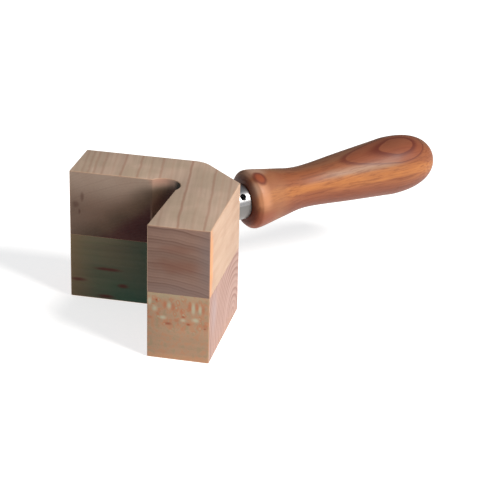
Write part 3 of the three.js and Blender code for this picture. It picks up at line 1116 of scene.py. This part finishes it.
def grip_neck(tree, colour, turn, station):
    """The paler neck, a painted highlight on the crest of its front bead, and painted shade in red below the
    crest.
    """
    colour = lay(tree, colour, (158, 108, 74), short_of(tree, station, 24, 34), 0.5)
    crest = product(tree, step_up(tree, turn, -45, -18), step_down(tree, turn, 12, 30))
    colour = lay(tree, colour, (192, 134, 98), short_of(tree, station, 16.5, 21), crest, 0.7)
    below = step_up(tree, turn, 20, 50)
    return lay(tree, colour, (138, 66, 42), short_of(tree, station, 18, 26), below, 0.7)


def handle_wood():
    material, tree, shader = new_material(
        "handle_wood", specular_ior_level=0.3, coat_weight=0.12, coat_roughness=0.36,
    )
    pith = AXIS_START - around_axis(RING_DIRECTION) * RING_CENTRE
    place = place_along(tree, pith, ACROSS, ALONG)
    on_axis = place_along(tree, AXIS_START, ACROSS, ALONG)
    rings = use_group(tree, growth_rings, {"Place": place, "Ring Width": RING_WIDTH * MM, "Wander": 0.9 * MM})
    fibres = use_group(tree, wood_fibres, {"Place": on_axis, "Fineness": 1300.0})
    station = parts_of(tree, on_axis)["Z"]
    turn = turn_from_band(tree, station, fibres["Streak"])

    colour = grip_zones(tree, turn, station, fibres)
    colour = grip_rings(tree, colour, rings, station)
    colour = grip_neck(tree, colour, turn, station)
    colour = marked(tree, on_axis, colour, NECK_PAINTED_SHEEN + KNOT)
    colour = lay(tree, colour, (112, 66, 46), fibres["Cloud"], 0.15)
    # Painted shade, dark red, on the handle's front end beside the collar.
    front_end = short_of(tree, station, 11.9, 13.6)
    colour = lay(tree, colour, (66, 22, 22), front_end, 0.7)
    feed(tree, shader.inputs, {"Base Color": colour})
    rough_wood(tree, shader, rings, fibres, 0.5, 0.64, 0.02)
    return material


# ---------------------------------------------------------------- dowels, metal and floor


def dowel_wood():
    material, tree, shader = new_material("dowel_wood", specular_ior_level=0.25)
    place = place_along(tree, Vector((0, 40, 0)), Vector((1, 0, 0)), Vector((0, 0, 1)))
    rings = use_group(tree, growth_rings, {"Place": place, "Ring Width": 1.6 * MM, "Wander": 1.2 * MM})
    fibres = use_group(tree, wood_fibres, {"Place": place, "Fineness": 1000.0})
    colour = lay(tree, (214, 186, 146), (198, 168, 128), fibres["Streak"])
    colour = lay(tree, colour, (174, 136, 96), rings["Latewood"], 0.5)
    feed(tree, shader.inputs, {"Base Color": colour})
    rough_wood(tree, shader, rings, fibres, 0.6, 0.78, 0.05)
    return material


def collar_shading(tree, place, colour):
    """Painted shade: the collar's darker underside, and the dark wall of the hole for its grub screw."""
    underside = step_down(tree, surface_facing(tree, (0, 0, 1)), 0.1, 0.3)
    colour = lay(tree, colour, (126, 124, 122), underside)
    middle_of_hole = 6.3
    out_x, out_y = -math.cos(GRUB_SCREW_LIFT), math.sin(GRUB_SCREW_LIFT)
    centre = (middle_of_hole * out_x, middle_of_hole * out_y, GRUB_SCREW_AT)
    reach = GRUB_SCREW_HOLE_RADIUS + 0.3
    return lay(tree, colour, (12, 12, 14), spot_on(tree, place, centre, (reach, reach, reach), 0.1, 0.0))


def metal(name, bright, dull, smooth, rough, line_width, shading=None):
    """Turned metal: two colours mixed by smudges, any painted shade of its own, and turning lines."""
    material, tree, shader = new_material(name, metallic=1.0)
    place = place_along(tree, AXIS_START, ACROSS, ALONG)
    wear = use_group(tree, metal_wear, {"Place": place, "Line Width": line_width * MM})
    colour = lay(tree, bright, dull, wear["Smudge"])
    if shading:
        colour = shading(tree, place, colour)
    wear_and_highlight = maths(tree, "ADD", product(tree, wear["Lines"], 0.5), product(tree, wear["Smudge"], 0.5))
    roughness = add(tree, "ShaderNodeMapRange", {"Value": wear_and_highlight, "To Min": smooth, "To Max": rough})
    bump = add(tree, "ShaderNodeBump", {"Height": wear["Lines"], "Strength": 0.3, "Distance": 0.01 * MM})
    feed(tree, shader.inputs, {
        "Base Color": colour, "Roughness": roughness.outputs["Result"], "Normal": bump.outputs[0],
    })
    return material


def floor_paint():
    """A pale floor that glows a little, which keeps the shadows on it faint."""
    material, tree, shader = new_material(
        "floor_paint", roughness=0.9, specular_ior_level=0.0,
        emission_color=(1, 1, 1, 1), emission_strength=0.7,
    )
    mottle = noise(tree, place_on(tree), 6.0, 2.0)
    feed(tree, shader.inputs, {"Base Color": lay(tree, (220, 220, 220), (223, 223, 223), mottle)})
    return material


def finish_with(material, *names):
    """Gives these pieces this material and no other."""
    for name in names:
        piece = bpy.data.objects[name]
        piece.data.materials.clear()
        piece.data.materials.append(material)


polished_steel = metal("polished_steel", (196, 195, 196), (180, 180, 182), 0.28, 0.36, 0.2, collar_shading)
thread_steel = metal("thread_steel", (176, 178, 182), (150, 152, 156), 0.25, 0.42, 0.3)
black_steel = metal("black_steel", (24, 24, 26), (16, 16, 18), 0.4, 0.6, 0.3)
insert_brass = metal("insert_brass", (204, 164, 92), (176, 136, 72), 0.28, 0.46, 0.3)

finish_with(upper_board_wood(), "upper_board_piece")
finish_with(lower_board_wood(), "lower_board_piece")
finish_with(handle_wood(), "handle_piece")
finish_with(polished_steel, "collar_piece")
finish_with(thread_steel, "stud_piece", "seat_washer_piece")
finish_with(black_steel, "grub_screw_piece")
finish_with(insert_brass, "threaded_insert_piece")
finish_with(floor_paint(), "floor")

dowel_finish = dowel_wood()
for name in ("left_arm_dowel", "right_arm_dowel"):
    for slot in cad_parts[name].material_slots:
        slot.material = dowel_finish


# ---------------------------------------------------------------- light


def add_sun(name, towards_light, strength, colour, spread):
    """A sun that shines from this direction; its spread in degrees softens the shadows."""
    data = bpy.data.lights.new(name, "SUN")
    data.energy = strength
    data.color = colour
    data.angle = math.radians(spread)
    sun = bpy.data.objects.new(name, data)
    sun.rotation_euler = Vector(towards_light).to_track_quat("Z", "Y").to_euler()
    bpy.context.scene.collection.objects.link(sun)


def add_lights():
    """One warm, soft sun from the right and a dim, cool sky."""
    azimuth, elevation = math.radians(-20), math.radians(41)
    level = math.cos(elevation)
    add_sun(
        "key_light", (level * math.cos(azimuth), level * math.sin(azimuth), math.sin(elevation)),
        3.7, (1.0, 0.97, 0.93), 20,
    )
    world = bpy.data.worlds.new("studio")
    bpy.context.scene.world = world
    world.use_nodes = True
    background = world.node_tree.nodes["Background"]
    background.inputs["Color"].default_value = (0.9, 0.95, 1.0, 1)
    background.inputs["Strength"].default_value = 0.2


add_lights()

scene = bpy.context.scene
scene.view_settings.view_transform = "Standard"
scene.view_settings.look = "None"
